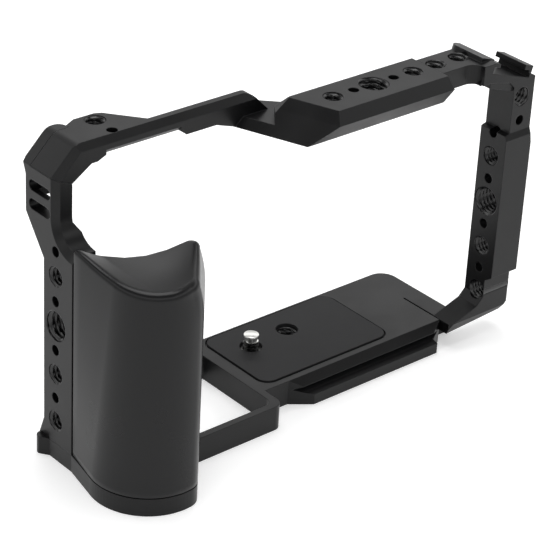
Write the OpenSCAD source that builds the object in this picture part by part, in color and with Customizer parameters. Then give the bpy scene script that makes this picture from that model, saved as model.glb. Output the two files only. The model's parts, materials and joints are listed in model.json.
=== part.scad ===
// Camera cage: a milled frame with a side arm, hand grip, base pad and a captive camera screw.
// Millimetres. X runs across the camera, Y to its back, Z up, and the base stands on Z = 0.

/* [Camera bay] */
// Clear width between the side arm and the column
bay_w = 145; // [140:1:155]
// Height of the top face above the floor
cage_h = 99.5; // [98:0.5:108]
// Depth from the grip's front to the back of the base
cage_d = 60.3; // [59.1:0.2:61.1]

/* [Accessory holes] */
// Pitch of the hole rows
hole_pitch = 8; // [7.8:0.1:8.2]
// Bore of the small tripod threads
quarter_bore = 6.35; // [6:0.05:6.6]
// Bore of the large tripod threads
three_eighth_bore = 9.5; // [9:0.1:9.8]
// Bore of the locating holes
locate_bore = 3.3; // [3:0.1:3.6]

/* [Side arm] */
// Wall of the side arm
arm_t = 8; // [7.4:0.1:8.6]
// Depth of the arm's lower half, front to back
arm_low_d = 13.6; // [13:0.1:14]
// Wall of the arm's upper half
arm_top_t = 6; // [5.6:0.1:6.6]
// Height of the strap slots
slot_h = 3.4; // [3:0.1:3.6]
// Length of the strap slots
slot_l = 10.2; // [9:0.2:10.2]

/* [Base] */
// Height of the base plate
base_h = 8.4; // [8:0.1:9]
// Height of the foot under arm and grip
foot_h = 5.8; // [5.4:0.1:6.2]
// Depth of the clamping groove
groove_d = 2.2; // [1.5:0.1:2.6]
// Thickness of the rubber pad
pad_t = 1.2; // [1:0.1:1.4]

/* [Grip] */
// Radius of the grip at its foot
grip_r = 18.1; // [17.6:0.1:18.4]
// Radius of the grip at its top
grip_top_r = 15.8; // [15.2:0.1:16.4]
// Radius of the scoop in the grip's top
grip_scoop_r = 40; // [36:1:44]

/* [Camera screw] */
// Outer size of the screw's thread
screw_d = 6.35; // [6.1:0.05:6.5]
// How far the screw stands above the pad
screw_out = 4.4; // [4:0.1:5]
// How far the screw drops
screw_drop = 2; // [1.6:0.1:2.2]
// Size of the screw's head
head_d = 13; // [12.4:0.1:13.4]
// Wire of the folding ring
ring_wire = 1.8; // [1.6:0.05:1.9]

/* [Column] */
// Width of the column's front
col_w = 11.4; // [11:0.1:12]
// Wall of the column at its holes
col_wall = 7.5; // [7:0.1:8]
// Depth of the column
col_d = 11.2; // [10.8:0.1:11.6]

/* [Cold shoe] */
// Opening between the shoe's lips
shoe_gap = 12.5; // [12:0.1:13]
// Slope of the shoulder and its shoe, in degrees
shoe_tilt = 18; // [16:1:19]

/* [Hidden] */
$fn = 64;

// Overrun of every cut, and the clearance of pieces that turn or pass
over = 1;
run_gap = 0.1;

// Places of the side arm: everything is measured from its outer face and its row of holes
grip_bulge = 3;
grip_y = 24.4;
grip_reach = grip_y + grip_r;
arm_x = grip_bulge - (bay_w + arm_t + col_w + grip_bulge) / 2;
arm_y = grip_reach - cage_d / 2;
back_y = cage_d - grip_reach;
col_x = arm_t + bay_w;
arm_front = 7.9;
arm_rear = arm_low_d - arm_front;
arm_mid_z = 45.5;
col_mid_z = 48.4;

// Upper half of the side arm
neck_drop = 20.3;
neck_z = cage_h - neck_drop;
neck_r = 8.4;
neck_front = neck_r - arm_front;
edge_cut = 1.9;
neck_rear = 14.4;
slant_drop0 = 34.4;
slant_drop1 = 22.9;
slant_z0 = cage_h - slant_drop0;
slant_z1 = cage_h - slant_drop1;
step_drop = 25.5;
step_z = cage_h - step_drop;
step_h = 3;
bevel_w = 8.2;
seam_z = cage_h - bevel_w;
bevel_r = 4;
seam_drop = 2.5;
strip_d = 3.8;
strip_rear = 16.1;
strip_low_drop = 11.5;
strip_high_drop = 7;
strip_low_z = cage_h - strip_low_drop;
strip_high_z = cage_h - strip_high_drop;
strip_end = 13.2;
strip_r = 2.6;
slot_drop0 = 21.4;
slot_drop1 = 15.5;
slot_z0 = cage_h - slot_drop0;
slot_z1 = cage_h - slot_drop1;
pocket_x = 2;
slot_rear = 12.8;

// Top rail: boss, bar, web and block
rail_front = neck_front;
rail_chamfer = 2;
rail_t = 5;
rail_lip = 2.1;
low_cut_h = 1.5;
low_cut_d = 1.3;
boss_back = 15.8;
boss_w = 26.5;
boss_run = 8.4;
corner_in = 12.6;
corner_rise = 6.3;
bar_back = 8;
bar_end = 76.6;
bar_top_end = 68;
bar_nose_r = 5;
bar_low_x0 = 57;
bar_low_x1 = 64.4;
bar_drop_x = 45;
bar_drop = 1.5;
web_t = 2.6;
web_front = 21.8;
ceiling_drop = 9;
block_x0 = 83.1;
block_end_turn = 21.3;
block_front = 22.7;
block_nose = 3.2;
block_rear = 2.8;
block_rear_cut = 4;
block_side_x = 70.6;
block_side_y = 9.5;
block_side_turn = 51;
ramp_y = 22;
block_t = 5.5;
block_lip = 4.1;
ceiling_x0 = 84.5;
ceiling_front = 19;
ramp_low = 9.6;
ramp_mid = 3.1;
ramp_mid_drop = 3.1;
block_end = 127;
top_row_x = 104.6;
top_row_y = 14.1;
far_pitch = 9.4;
boss_hole_x = 22.1;
boss_hole_y = 12.1;

// Right column, shoulder and shoe
col_rear = 14;
col_row = 5.3;
flange_t = 2.6;
upper_front = 24.4;
upper_x = 154.9;
upper_w = 9;
upper_drop = 26;
upper_z = cage_h - upper_drop;
toe_z = 22.8;
toe_back = 2.8;
toe_low = 8.6;
foot_top = 12;
foot_low = 4.6;
foot_front = 24;
foot_r = 2.5;
shoulder_rear = 8.6;
shoulder_front = 20.4;
shoulder_t = 8.3;
shoulder_in_t = 6.3;
shoulder_low = cage_h - shoulder_t;
shoulder_in = cage_h - shoulder_in_t;
inner_r = 2;
neck_turn_x = 137;
front_hole_drop = 14.3;
front_hole_z = cage_h - front_hole_drop;
front_hole_x = 3.9;
front_hole_l = 7;
shoe_x = 144.6;
shoe_rise = 0.8;
shoe_lip = 1.6;
shoe_slot = 2.1;
shoe_wall = 1.2;
shoe_w = 19.6;
shoe_slot_w = shoe_w - 2 * shoe_wall;
shoe_front = 23.8;
shoe_rear = 6.2;
shoe_left = 2;
shoe_left_front = 21.3;
shoe_right_rear = 11;
shoe_r = 4;

// Base plate
wall_x = 63.2;
base_end = 147;
base_corner_r = 5.5;
side_back = 16;
rear_groove_x = 76;
back_neck_h = 4.2;
base_front = 20;
base_low_front = 22;
base_step_x = 75;
front_run = 4;
base_left_front = 17.1;
front_corner_x = 139.5;
neck_h = 5.2;
lip_h = 3.6;
lip_x0 = 79;
lip_x1 = 134.3;
lip_run = 2.8;
window_x0 = 31;
window_back = 12;
window_r = 3;
bar_y0 = 26;
bar_y1 = 23.7;
bar_x1 = 65.6;
foot_left = 2;
foot_back = 8;
foot_x1 = 13;
foot_x2 = 24;
screw_x = 78.7;
screw_y = 5.4;
hole_x = 94.7;
hole_y = 6.7;
pad_x0 = 68;
pad_x1 = 119.6;
pad_front = 14.4;
pad_rear = 16.6;
pad_r = 4;
pad_edge = 0.6;
pad_proud = 0.3;
pad_hole = 7.2;

// Grip
grip_x = 15.1;
grip_top_x = 17.8;
grip_top_y = 22.5;
grip_flat_turn = 39.8;
grip_flat = 14.8;
grip_top_flat = 13.94;
grip_front_r = 6;
grip_heel = 11.6;
grip_heel_r = 3;
grip_slab = 0.2;
grip_top_z = 80;
grip_low_z = 68.4;
grip_scoop_x = 19;
grip_scoop_y = 12;
grip_scoop_turn = 17;

// Camera screw, its folding ring and its retaining ring
well_r = 9.2;
neck_d = 5;
tip_d = 5;
clip_d = 8.4;
clip_t = 0.6;
clip_room_d = 9.6;
ring_in = 7.1;
ring_axle_d = 1.2;
axle_share = 0.6;
floor_share = 0.348;
clip_z = base_h + pad_proud - pad_t - clip_t - 3 * run_gap;
web_floor = (clip_z - screw_drop) * floor_share;
well_h = clip_z - screw_drop - web_floor;
head_room = 0.7;
head_h = well_h - run_gap - head_room;
axle_z = well_h * axle_share;

// Joint screws
m3_d = 3;
m3_head_d = 5.5;
m3_head_h = 2;
foot_screw_l = 8;
grip_screw_l = 11;
arm_screw_l = 9;
head_sink = 0.6;
corner_screw_d = 2.5;
corner_head_d = 4.4;
corner_head_h = 1.5;
corner_sink = 1.3;
corner_x0 = 4.4;
corner_drop0 = 7.6;
corner_x1 = 10.6;
corner_drop1 = 2.9;

// Colours as the photograph shows them
black_metal = [0.12, 0.12, 0.13];
black_rubber = [0.17, 0.17, 0.17];
steel = [0.75, 0.75, 0.77];

// Places the arm's own corner: its outer face, its row of holes, the floor
module placed() {
  translate([arm_x, arm_y, 0]) children();
}

// A plate drawn as (x, z) and as thick as two depths behind the row of holes
module plate_xz(y0, y1) {
  translate([0, y1, 0]) rotate([90, 0, 0]) linear_extrude(y1 - y0) children();
}

// A plate drawn as (y, z) and as thick as two places along X
module plate_yz(x0, x1) {
  translate([x0, 0, 0]) rotate([90, 0, 90]) linear_extrude(x1 - x0) children();
}

// A drilled hole along X, Y or Z that starts one overrun outside
module drill_x(d, x, y, z, l) {
  translate([x - over, y, z]) rotate([0, 90, 0]) cylinder(d = d, h = l + 2 * over);
}
module drill_y(d, x, y, z, l) {
  translate([x, y - over, z]) rotate([-90, 0, 0]) cylinder(d = d, h = l + 2 * over);
}
module drill_z(d, x, y, z, l) {
  translate([x, y, z - over]) cylinder(d = d, h = l + 2 * over);
}

// The upright row: one large thread in the middle, small threads and locating holes at one pitch
module upright_row(x, y, z, l) {
  drill_x(three_eighth_bore, x, y, z, l);
  for (i = [-4, -2, 2]) drill_x(quarter_bore, x, y, z + i * hole_pitch, l);
  for (i = [-3, -1, 1, 3]) drill_x(locate_bore, x, y, z + i * hole_pitch, l);
}

// Rounded rectangle made of boxes and circles
module round_rect(x0, y0, x1, y1, r) {
  translate([x0 + r, y0]) square([x1 - x0 - 2 * r, y1 - y0]);
  translate([x0, y0 + r]) square([x1 - x0, y1 - y0 - 2 * r]);
  for (x = [x0 + r, x1 - r], y = [y0 + r, y1 - r]) translate([x, y]) circle(r);
}

// Points of an arc
function arc(cx, cy, r, a0, a1, n) = [for (i = [0 : n]) let (a = a0 + (a1 - a0) * i / n)
  [cx + r * cos(a), cy + r * sin(a)]];

// Outline of the grip: a round front, one flat flank and a rounded heel
function grip_points(cx, cy, r, flat) =
  let (
    turn = -grip_flat_turn,
    inner = flat - grip_front_r,
    span = sqrt((r - grip_front_r) * (r - grip_front_r) - inner * inner),
    fx = cx + inner * cos(turn) + span * sin(turn),
    fy = cy + inner * sin(turn) - span * cos(turn),
    hx = cx + (flat - grip_heel_r) * cos(turn) - grip_heel * sin(turn),
    hy = cy + (flat - grip_heel_r) * sin(turn) + grip_heel * cos(turn),
    start = atan2(fy - cy, fx - cx),
    back = atan2(hx - arm_t, -arm_front - hy)
  )
  concat(
    [[0, -arm_front]],
    arc(cx, cy, r, 165, 360 + start, 28),
    arc(fx, fy, grip_front_r, start, turn, 8),
    arc(hx, hy, grip_heel_r, turn, back, 10),
    [[arm_t, -arm_front]]
  );

module grip_foot_outline() {
  polygon(grip_points(grip_x, -grip_y, grip_r, grip_flat));
}

module grip_top_outline() {
  polygon(grip_points(grip_top_x, -grip_top_y, grip_top_r, grip_top_flat));
}

// Base plate: block with pad bed and groove, window frame, and the foot under arm and grip
module block_outline() {
  difference() {
    polygon([
      [wall_x, -base_front], [base_end, -base_front], [base_end, back_y],
      [wall_x + back_y - side_back, back_y], [wall_x, side_back]
    ]);
    polygon([
      [wall_x - over, -base_left_front], [base_step_x, -base_left_front],
      [base_step_x + front_run, -base_front], [base_step_x + front_run, -base_front - over],
      [wall_x - over, -base_front - over]
    ]);
    polygon([
      [lip_x1, -base_front - over], [lip_x1, -base_front], [front_corner_x, -base_left_front],
      [front_corner_x + over, -base_left_front], [front_corner_x + over, -base_front - over]
    ]);
    translate([front_corner_x, -base_front - over])
      square([base_end - front_corner_x + over, base_front - col_rear + over]);
    translate([base_end - base_corner_r, back_y - base_corner_r]) difference() {
      square(base_corner_r + over);
      circle(base_corner_r);
    }
  }
}

module foot_outline() {
  difference() {
    union() {
      grip_foot_outline();
      polygon([
        [0, -arm_front], [0, arm_rear / 2], [-foot_left, arm_rear], [-foot_left, foot_back],
        [foot_x1, foot_back], [foot_x2, side_back], [wall_x, side_back], [wall_x, -arm_front]
      ]);
    }
    translate([0, foot_back - foot_left]) mirror([1, 0]) difference() {
      square(foot_left + over);
      circle(foot_left);
    }
  }
}

module window_outline() {
  round_rect(window_x0, -bar_y1, wall_x, window_back, window_r);
}

module base_plate() {
  color(black_metal) placed() difference() {
    union() {
      linear_extrude(base_h) block_outline();
      linear_extrude(foot_h) foot_outline();
      linear_extrude(base_h)
        round_rect(grip_x, -bar_y0, bar_x1, -base_left_front + window_r, window_r);
      plate_yz(lip_x0, lip_x1) polygon([[-base_low_front, 0], [-base_low_front, lip_h],
        [-base_front, lip_h + groove_d], [-base_front + groove_d, 0]]);
    }
    translate([0, 0, -over]) linear_extrude(base_h + 2 * over) window_outline();
    // Room for the grip above the window's bar
    for (s = [0, run_gap]) translate([s, s, foot_h]) linear_extrude(base_h) grip_foot_outline();
    // Clamping groove along the front and along the back
    plate_yz(base_step_x, front_corner_x + over) polygon([
      [-base_front - over, base_h + over], [-base_left_front, base_h + over],
      [-base_left_front, base_h], [-base_front, neck_h + groove_d / 2],
      [-base_front + groove_d, neck_h], [-base_front, lip_h + groove_d / 4],
      [-base_low_front, lip_h], [-base_low_front - over, lip_h]]);
    plate_yz(rear_groove_x, base_end + over) polygon([
      [back_y + over, back_neck_h + groove_d], [side_back, back_neck_h + groove_d],
      [side_back - groove_d, back_neck_h], [side_back, back_neck_h - groove_d],
      [side_back, -over], [back_y + over, -over]]);
    // Slanting left end of the lip
    translate([0, 0, -over]) linear_extrude(base_h) polygon([
      [lip_x0 - over, -base_front], [lip_x0, -base_front], [lip_x0 + lip_run, -base_low_front],
      [lip_x0 + lip_run, -base_low_front - over], [lip_x0 - over, -base_low_front - over]]);
    // Bed of the rubber pad
    translate([0, 0, base_h - pad_t + pad_proud]) linear_extrude(pad_t)
      round_rect(pad_x0 - pad_edge, -pad_front - pad_edge, pad_x1 + pad_edge,
                 pad_rear + pad_edge, pad_r + pad_edge);
    // Line milled across the right end
    translate([front_corner_x - pad_edge / 2, -base_front - over, base_h - pad_edge])
      cube([pad_edge, base_front + over, base_h]);
    // Well of the camera screw, its hole and the room of its retaining ring
    drill_z(2 * well_r, screw_x, screw_y, -over, well_h);
    drill_z(screw_d + 4 * run_gap, screw_x, screw_y, 0, base_h);
    translate([screw_x, screw_y, well_h + web_floor]) cylinder(d = clip_room_d, h = base_h);
    drill_z(quarter_bore, hole_x, hole_y, 0, base_h);
    // Screws from below
    for (p = foot_screw_places()) {
      drill_z(m3_d + 2 * run_gap, p[0], p[1], 0, foot_h);
      drill_z(m3_head_d + 2 * run_gap, p[0], p[1], -over, m3_head_h + head_sink);
    }
    for (p = grip_screw_places()) {
      drill_z(m3_d + 2 * run_gap, p[0], p[1], 0, foot_h);
      drill_z(m3_head_d + 2 * run_gap, p[0], p[1], -over, m3_head_h + head_sink);
    }
  }
}

// Right column with its foot, its shoulder and the cold shoe
module shoe_profile() {
  difference() {
    translate([-shoe_left, -shoe_slot - shoe_lip - rail_t])
      square([shoe_w + shoe_left, shoe_slot + shoe_lip + rail_t]);
    translate([(shoe_w - shoe_slot_w) / 2, -shoe_slot - shoe_lip]) square([shoe_slot_w, shoe_slot]);
    translate([(shoe_w - shoe_gap) / 2, -shoe_slot - shoe_lip]) square([shoe_gap, shoe_slot + shoe_lip + over]);
  }
}

module shoe_bar() {
  translate([shoe_x, 0, cage_h + shoe_rise]) rotate([0, shoe_tilt, 0]) difference() {
    plate_xz(-shoe_front, -shoe_rear) shoe_profile();
    // The left lip stops short at the front, the right one at the rear
    translate([-shoe_left - over, -shoe_front - over, -shoe_slot - shoe_lip])
      cube([shoe_w / 2, shoe_front - shoe_left_front + over, base_h]);
    translate([shoe_w / 2, -shoe_right_rear, -shoe_slot - shoe_lip])
      cube([shoe_w, shoe_right_rear - shoe_rear + over, base_h]);
    translate([shoe_r - shoe_left, -shoe_rear - shoe_r, -2 * base_h]) linear_extrude(4 * base_h)
      mirror([1, 0]) difference() {
        square(shoe_r + over);
        circle(shoe_r);
      }
  }
}

module column_profile() {
  // Seen from the front: shoulder, upper and lower column, and the foot
  top_right = upper_x + upper_w;
  polygon([
    [shoe_x, shoulder_in], [block_end, shoulder_in], [block_end, cage_h], [shoe_x + shoe_lip, cage_h],
    [top_right, cage_h - (top_right - shoe_x) * tan(shoe_tilt) - shoe_slot],
    [top_right, upper_z - rail_chamfer], [col_x + col_w, upper_z - 2 * rail_chamfer - over],
    [col_x + col_w, foot_low + 2 * foot_r], [col_x + col_w - foot_r, foot_low + foot_r],
    [front_corner_x, foot_low], [front_corner_x, base_h],
    [col_x - foot_r, foot_top], [col_x, foot_top + foot_r],
    [col_x, upper_z - over / 2], [upper_x, upper_z],
    [upper_x, shoulder_low - inner_r], [upper_x - inner_r, shoulder_low]
  ]);
}

module column_side() {
  // Seen from the side, as (y, z)
  polygon([
    [-col_rear, foot_low - over], [-col_rear, shoulder_low], [-shoulder_rear, shoulder_in],
    [-shoulder_rear, cage_h + over], [-upper_front, cage_h + over], [-upper_front, upper_z],
    [-col_rear - col_d, upper_z - rail_chamfer], [-col_rear - col_d, toe_z],
    [-col_rear - col_d + toe_back, toe_z - rail_chamfer],
    [-col_rear - col_d + toe_back, toe_low], [-base_front, foot_low - over]
  ]);
}

// Plan of the shoulder: its narrow neck widens in one concave turn
module shoulder_outline() {
  turn_r = upper_front - shoulder_front;
  polygon(concat(
    [[col_x + 2 * col_w, -upper_front - 2 * over], [col_x + 2 * col_w, 0], [block_end - over, 0],
     [block_end - over, -shoulder_front]],
    arc(neck_turn_x, -upper_front, turn_r, 90, 0, 8),
    [[neck_turn_x + turn_r, -upper_front - 2 * over]]
  ));
}

module right_column() {
  color(black_metal) placed() difference() {
    union() {
      intersection() {
        plate_xz(-col_rear - 2 * col_d, 0) column_profile();
        plate_yz(block_end, col_x + col_w) column_side();
        linear_extrude(2 * cage_h) shoulder_outline();
      }
      difference() {
        shoe_bar();
        // The shoe's plate stops at the shoulder's underside
        translate([block_end, -shoe_front - over, shoulder_low - 2 * rail_t])
          cube([2 * shoe_w, shoe_front + over, rail_t + over]);
        translate([block_end, -shoe_front - over, shoulder_low - 2 * rail_t])
          cube([shoe_x - block_end, shoe_front + over, shoulder_in - shoulder_low + 2 * rail_t]);
      }
    }
    // Behind the front flange the column is only as thick as its wall
    translate([col_x + col_wall, -col_rear - col_d + flange_t, toe_z])
      cube([col_w, col_d, upper_z - 2 * rail_chamfer - toe_z]);
    // The shoe's channel through the shoulder
    translate([shoe_x, 0, cage_h + shoe_rise]) rotate([0, shoe_tilt, 0])
      plate_xz(-shoe_front - over, -shoe_rear + over) {
        translate([(shoe_w - shoe_slot_w) / 2, -shoe_slot - shoe_lip]) square([shoe_slot_w, shoe_slot]);
        translate([(shoe_w - shoe_gap) / 2, -shoe_slot - shoe_lip])
          square([shoe_gap, shoe_slot + shoe_lip + base_h]);
      }
    upright_row(col_x, -col_rear - col_row, col_mid_z, col_w);
    for (i = [1, 2]) drill_z(quarter_bore, top_row_x + 2 * hole_pitch + i * far_pitch, -top_row_y,
      shoulder_low - rail_t, cage_h - shoulder_low + rail_t);
    drill_y(quarter_bore, upper_x + front_hole_x, -upper_front, front_hole_z, front_hole_l);
    drill_y(locate_bore, upper_x + front_hole_x, -upper_front, front_hole_z - hole_pitch, front_hole_l);
  }
}

// Top rail: corner tongue, boss, thin bar, web and thick block
module rail_front_profile() {
  polygon(concat(
    [[0, seam_z]],
    corner_turn(),
    arc(bar_top_end, cage_h - bar_nose_r, bar_nose_r, 90, 45, 6),
    [[bar_end, cage_h - rail_t - bar_drop], [bar_end, cage_h - ceiling_drop],
     [bar_low_x1, cage_h - ceiling_drop], [bar_low_x0, cage_h - rail_t - bar_drop],
     [bar_drop_x + over, cage_h - rail_t - bar_drop],
     [bar_drop_x - over, cage_h - rail_t], [corner_in + rail_t, cage_h - rail_t],
     [corner_in + rail_chamfer, cage_h - corner_rise], [corner_in, cage_h - corner_rise],
     [arm_top_t, seam_z - seam_drop]]
  ));
}

// Rounded top of the corner's bevel
function corner_turn() =
  let (t = bevel_r * tan(22.5)) arc(bevel_w + t, cage_h - bevel_r, bevel_r, 135, 90, 6);

module bar_section(back) {
  polygon([
    [rail_front, 0], [rail_front, cage_h - edge_cut], [rail_front + edge_cut, cage_h],
    [rail_front + edge_cut + rail_lip, cage_h],
    [back, cage_h + rail_front + edge_cut + rail_lip - back], [back, 0]
  ]);
}

module boss_outline() {
  polygon([
    [strip_end + run_gap, rail_front], [strip_end + run_gap, boss_back - rail_chamfer],
    [strip_end + 2 * rail_chamfer, boss_back], [boss_w - rail_chamfer, boss_back],
    [boss_w, boss_back - rail_chamfer / 2], [boss_w + boss_run, rail_front + 2 * rail_chamfer],
    [boss_w + boss_run, rail_front]
  ]);
}

module block_section() {
  polygon([
    [-block_front, cage_h], [-block_front - block_nose, cage_h - block_nose],
    [-block_front - block_nose + block_lip, cage_h - ceiling_drop],
    [-block_rear, cage_h - ceiling_drop], [-block_rear, cage_h - block_rear_cut],
    [-block_rear - block_rear_cut, cage_h]
  ]);
}

module end_ramp(l) {
  // Sloping end of the block, drawn outwards from its top edge
  translate([block_x0, -ramp_y, 0]) rotate([0, 0, block_end_turn]) mirror([1, 0, 0])
    plate_xz(-2 * ramp_y, l) polygon([
      [-4 * ramp_y, cage_h - ceiling_drop], [ramp_low, cage_h - ceiling_drop],
      [ramp_mid, cage_h - ramp_mid_drop], [0, cage_h], [-4 * ramp_y, cage_h]
    ]);
}

// Half space right of the block's slanting rear wall, and the bevel along its top
module block_side_cut() {
  translate([block_side_x, -block_side_y, 0]) rotate([0, 0, block_side_turn])
    plate_yz(-2 * ramp_y, 4 * ramp_y) polygon([
      [-4 * ramp_y, 0], [0, 0], [0, cage_h - block_rear_cut], [-block_rear_cut, cage_h],
      [-4 * ramp_y, cage_h]
    ]);
}

module top_rail() {
  color(black_metal) placed() difference() {
    union() {
      // Corner tongue over the side arm
      intersection() {
        plate_xz(rail_front, strip_rear - strip_d - run_gap) rail_front_profile();
        rail_bevel(-over, strip_end + 2 * over);
      }
      // Boss with the rear corner
      intersection() {
        plate_xz(rail_front, boss_back) rail_front_profile();
        linear_extrude(cage_h + over) boss_outline();
        rail_bevel(0, block_end);
      }
      // Thin bar
      intersection() {
        plate_xz(rail_front, boss_back) rail_front_profile();
        plate_yz(boss_w, bar_end) bar_section(bar_back);
      }
      // Web down to the block
      intersection() {
        translate([0, 0, cage_h - ceiling_drop]) linear_extrude(web_t) web_outline();
        end_ramp(3 * ramp_y);
      }
      // Block with its sloping end
      intersection() {
        plate_yz(0, block_end) block_section();
        block_side_cut();
        end_ramp(3 * ramp_y);
      }
    }
    // Ceiling over the camera, behind the block's front lip
    translate([ceiling_x0, -ceiling_front, 0]) cube([block_end, ceiling_front + over, cage_h - block_t]);
    // The rail's front edges: bevel round the corner and the low edge of its left part
    corner_edge();
    plate_yz(corner_in + rail_t, bar_drop_x - over) polygon([
      [rail_front - over, cage_h - rail_t + low_cut_h], [rail_front, cage_h - rail_t + low_cut_h],
      [rail_front + low_cut_d, cage_h - rail_t], [rail_front + low_cut_d, cage_h - rail_t - over],
      [rail_front - over, cage_h - rail_t - over]]);
    for (i = [-2, 2]) drill_z(quarter_bore, top_row_x + i * hole_pitch, -top_row_y, cage_h - ceiling_drop, ceiling_drop);
    for (i = [-1, 1]) drill_z(locate_bore, top_row_x + i * hole_pitch, -top_row_y, cage_h - ceiling_drop, ceiling_drop);
    drill_z(three_eighth_bore, top_row_x, -top_row_y, cage_h - ceiling_drop, ceiling_drop);
    drill_z(quarter_bore, boss_hole_x, boss_hole_y, cage_h - rail_t, rail_t);
    drill_z(locate_bore, boss_hole_x, boss_hole_y - hole_pitch, cage_h - rail_t, rail_t);
    for (p = arm_screw_places())
      drill_y(corner_screw_d + 2 * run_gap, p[0], strip_rear - arm_screw_l - over, p[1], arm_screw_l);
  }
}

// Everything behind the bevel along the rail's top front edge
module rail_bevel(x0, x1) {
  plate_yz(x0, x1) polygon([
    [rail_front, 0], [rail_front, cage_h - edge_cut], [rail_front + edge_cut, cage_h],
    [strip_rear, cage_h], [strip_rear, 0]]);
}

// Bevel along the corner's front edge and down the front of the arm's upper half
module corner_edge() {
  translate([0, rail_front, seam_z]) rotate([0, -45, 0]) plate_yz(-bevel_w, 2 * bevel_w)
    polygon([[-over, -edge_cut - over], [-over, over], [edge_cut + over, over]]);
  translate([0, 0, neck_z]) linear_extrude(cage_h) polygon([
    [-over, rail_front - over], [edge_cut + over, rail_front - over], [-over, rail_front + edge_cut + over]]);
}

module web_outline() {
  polygon([
    [bar_low_x1 - bar_end + bar_top_end, rail_front], [bar_low_x1 - 2 * rail_t, bar_back],
    [bar_end, bar_back], [block_x0 + rail_t, -block_rear], [block_x0 + rail_t, -web_front],
    [bar_low_x1, -web_front]
  ]);
}

// Side arm: slotted upper half, drilled lower half, and the strip over the corner
function arm_screw_places() = [
  [corner_x0, cage_h - corner_drop0],
  [corner_x1, cage_h - corner_drop1]
];
function foot_screw_places() = [
  [arm_t / 2, -arm_front / 2 - over],
  [arm_t / 2, arm_rear / 2]
];
function grip_screw_places() = [
  [grip_x - grip_heel_r, -grip_y - grip_heel_r],
  [grip_x + 3 * grip_heel_r, -grip_y - grip_heel_r / 3]
];

module strap_slot(z) {
  for (y = [slot_rear - slot_l + slot_h / 2, slot_rear - slot_h / 2])
    drill_x(slot_h, 0, y, z + slot_h / 2, arm_top_t);
  translate([-over, slot_rear - slot_l + slot_h / 2, z])
    cube([arm_top_t + 2 * over, slot_l - slot_h, slot_h]);
}

module side_arm() {
  color(black_metal) placed() difference() {
    union() {
      intersection() {
        plate_xz(-arm_front - over, strip_rear) polygon([
          [0, foot_h], [arm_t, foot_h], [arm_t, step_z], [arm_top_t, step_z + step_h],
          [arm_top_t, seam_z - seam_drop - run_gap], [0, seam_z - run_gap]
        ]);
        plate_yz(0, arm_t) difference() {
          polygon([
            [-arm_front, foot_h], [foot_back, foot_h], [arm_rear, foot_top], [arm_rear, slant_z0],
            [neck_rear, slant_z1], [neck_rear, strip_low_z], [strip_rear, strip_high_z],
            [strip_rear, cage_h], [neck_front, cage_h], [neck_front, neck_z],
            [neck_front - neck_r, neck_z - neck_r]
          ]);
          translate([neck_front - neck_r, neck_z]) circle(neck_r);
        }
      }
      intersection() {
        plate_xz(strip_rear - strip_d, strip_rear) polygon(concat(
          [[0, seam_z - over], [0, seam_z]],
          corner_turn(),
          [[strip_end, cage_h], [strip_end, cage_h - corner_rise + over / 2],
           [corner_in, cage_h - corner_rise], [arm_top_t, seam_z - seam_drop],
           [arm_top_t, seam_z - seam_drop - over]]));
        plate_yz(0, strip_end) polygon([
          [0, strip_low_z], [neck_rear, strip_low_z], [strip_rear, strip_high_z], [strip_rear, cage_h],
          [0, cage_h]]);
      }
    }
    // Rounded end of the strip, and the bevel round the front edge
    translate([strip_end - strip_r, strip_rear - strip_r, seam_z]) linear_extrude(bevel_w + over)
      difference() {
        square(strip_r + over);
        circle(strip_r);
      }
    corner_edge();
    translate([0, neck_front - neck_r, neck_z]) rotate([0, 90, 0])
      translate([0, 0, -over]) cylinder(r1 = neck_r + edge_cut + over, r2 = neck_r - over, h = edge_cut + 2 * over);
    // The slots' bridges are thinner on the camera's side
    translate([pocket_x, slot_rear - slot_l + slot_h / 2, slot_z0 + slot_h / 2])
      cube([arm_top_t, slot_l - slot_h, slot_z1 - slot_z0]);
    upright_row(0, 0, arm_mid_z, arm_t);
    strap_slot(slot_z0);
    strap_slot(slot_z1);
    for (p = foot_screw_places()) drill_z(m3_d + 2 * run_gap, p[0], p[1], foot_h, foot_screw_l - foot_h + head_sink + over / 2);
    for (p = arm_screw_places()) {
      drill_y(corner_screw_d + 2 * run_gap, p[0], strip_rear - strip_d, p[1], strip_d);
      drill_y(corner_head_d + 2 * run_gap, p[0], strip_rear - corner_head_h - corner_sink + over, p[1],
              corner_head_h + corner_sink);
    }
  }
}

// Grip: a leaning round body with a scooped top
module grip_body() {
  color(black_rubber) placed() difference() {
    hull() {
      translate([0, 0, foot_h]) linear_extrude(grip_slab) grip_foot_outline();
      translate([0, 0, grip_top_z]) linear_extrude(grip_slab) grip_top_outline();
    }
    translate([grip_scoop_x, -grip_scoop_y, grip_low_z + grip_scoop_r]) rotate([90, 0, -grip_scoop_turn])
      cylinder(r = grip_scoop_r, h = 2 * grip_reach, center = true, $fn = 96);
    for (p = grip_screw_places()) drill_z(m3_d + 2 * run_gap, p[0], p[1], foot_h, grip_screw_l - foot_h + over);
  }
}

// Rubber pad in its bed
module base_pad() {
  color(black_rubber) placed() difference() {
    translate([0, 0, base_h - pad_t + pad_proud]) linear_extrude(pad_t)
      round_rect(pad_x0, -pad_front, pad_x1, pad_rear, pad_r);
    drill_z(pad_hole, screw_x, screw_y, base_h - pad_t, 2 * pad_t);
    drill_z(pad_hole, hole_x, hole_y, base_h - pad_t, 2 * pad_t);
  }
}

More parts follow.
